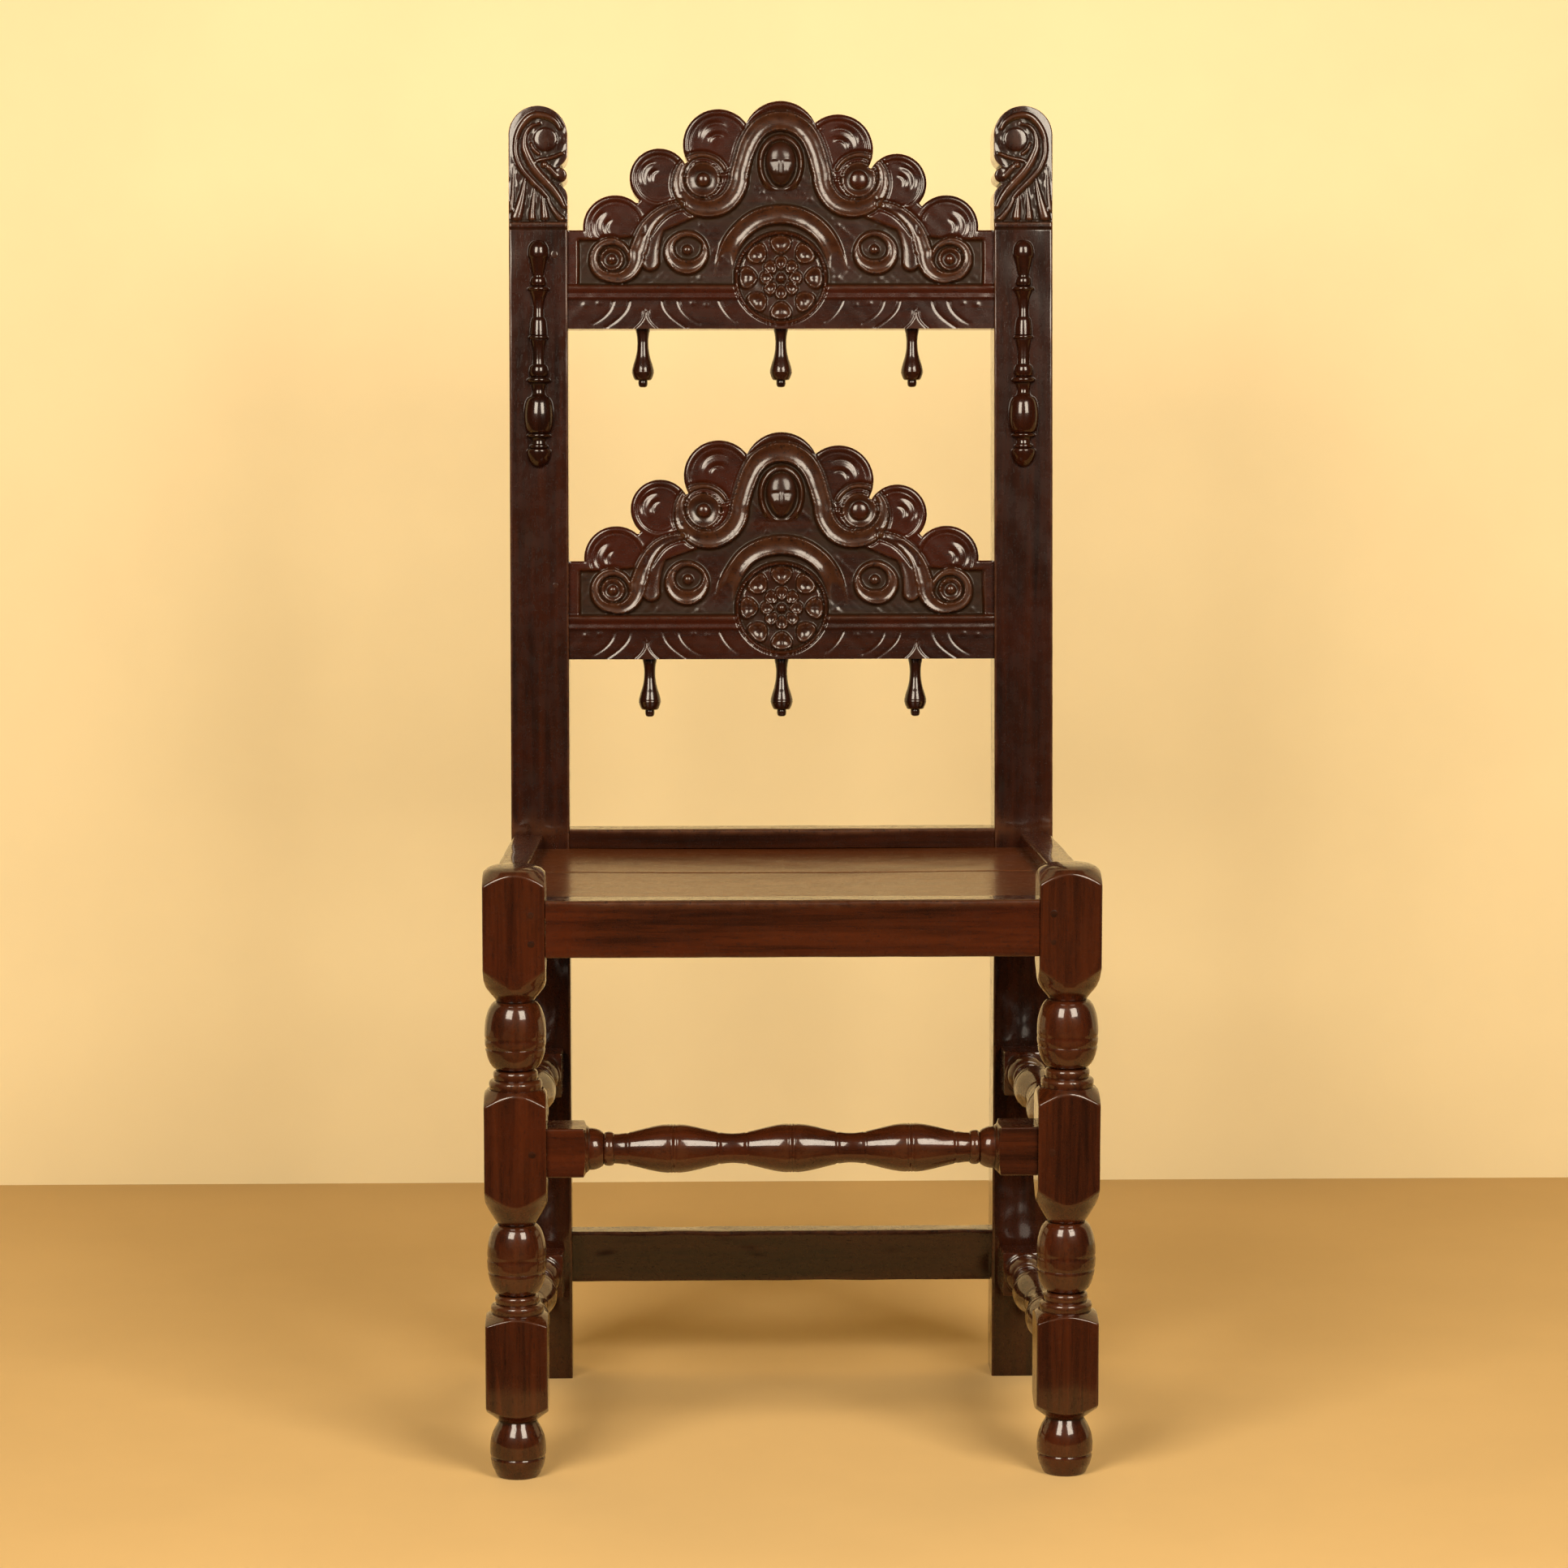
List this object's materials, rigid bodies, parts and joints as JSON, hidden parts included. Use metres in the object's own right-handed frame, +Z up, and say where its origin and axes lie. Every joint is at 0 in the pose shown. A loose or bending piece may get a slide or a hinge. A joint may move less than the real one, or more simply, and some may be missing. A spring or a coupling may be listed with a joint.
{
  "type": "joined backstool",
  "caption": "Joined wooden side chair with turned front legs and stretchers, two carved arcaded back rails with turned drops, and a sunken boarded seat.",
  "frame": {"origin": "on the floor under the middle of the bounding box", "axes": "+Z up, the front faces -Y, +X to the right as seen from the front"},
  "size_m": [0.4894, 0.4442, 1.0992],
  "materials": {
    "dark_oak": "dark waxed oak, satin to glossy on turnings",
    "red_oak": "red-brown waxed oak, polished by wear",
    "carved_oak": "carved oak, straps rubbed light, ground dark with old wax",
    "seat_oak": "oak boards polished by use, glossy",
    "peg_oak": "dark end grain, waxed"
  },
  "bodies": {
    "root": {"left_front_leg": "dark_oak", "right_front_leg": "dark_oak", "left_rear_post": "dark_oak", "right_rear_post": "dark_oak", "front_seat_rail": "red_oak", "left_seat_rail": "dark_oak", "right_seat_rail": "dark_oak", "rear_seat_rail": "dark_oak", "seat_board_front": "seat_oak", "seat_board_rear": "seat_oak", "front_stretcher": "red_oak", "left_upper_stretcher": "dark_oak", "right_upper_stretcher": "dark_oak", "left_lower_stretcher": "dark_oak", "right_lower_stretcher": "dark_oak", "rear_stretcher": "dark_oak", "crest_rail": "carved_oak", "lower_back_rail": "carved_oak", "crest_pendant_left": "dark_oak", "crest_pendant_centre": "dark_oak", "crest_pendant_right": "dark_oak", "lower_pendant_left": "dark_oak", "lower_pendant_centre": "dark_oak", "lower_pendant_right": "dark_oak", "left_split_baluster": "dark_oak", "right_split_baluster": "dark_oak", "front_seat_rail_pegs": "peg_oak", "left_seat_rail_pegs": "peg_oak", "right_seat_rail_pegs": "peg_oak", "rear_seat_rail_pegs": "peg_oak", "front_stretcher_pegs": "peg_oak", "left_stretcher_pegs": "peg_oak", "right_stretcher_pegs": "peg_oak", "rear_stretcher_pegs": "peg_oak", "crest_rail_pegs": "peg_oak", "lower_back_rail_pegs": "peg_oak"}
  },
  "joints": []
}
